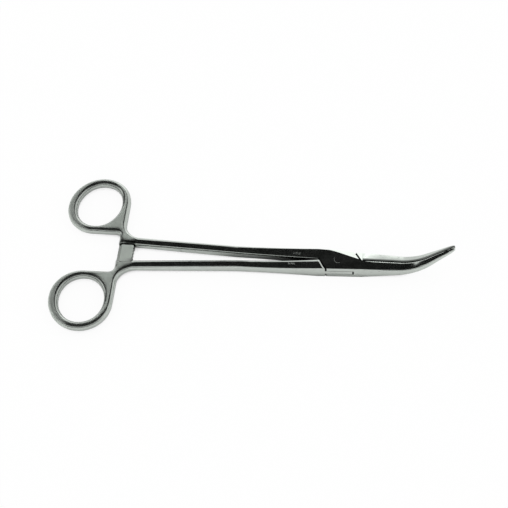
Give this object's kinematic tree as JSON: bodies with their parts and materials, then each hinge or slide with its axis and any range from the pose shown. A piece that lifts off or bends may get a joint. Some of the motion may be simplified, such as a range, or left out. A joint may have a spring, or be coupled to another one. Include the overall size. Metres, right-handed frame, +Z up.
{
  "type": "hemostatic forceps",
  "caption": "Locking scissor-handled clamp for tissue or vessels, with two finger rings, a ratchet, a box lock and serrated jaws bent out of the plane of the rings.",
  "frame": {"origin": "on the axis of the pivot pin, where it meets the flat underside of the box lock", "axes": "+X towards the jaw tips, +Y towards the ring of the female arm, +Z up along the pivot, towards the side that the jaws bend to"},
  "size_m": [0.1794, 0.0836, 0.0196],
  "materials": {
    "polished_steel": "polished stainless steel, flat faces mirror-like, rings satin",
    "polished_steel_male": "polished stainless steel, flat faces mirror-like, rings satin",
    "pin_steel": "ground flush with the lock"
  },
  "bodies": {
    "female": {"female_arm": "polished_steel", "pivot_pin": "pin_steel"},
    "male": {"male_arm": "polished_steel_male"}
  },
  "joints": [
    {"name": "box_lock", "type": "hinge", "parent": "female", "child": "male", "pos_m": [0, 0, 0.0032], "axis": [0, 0, 1], "range_deg": [0, 50]}
  ]
}
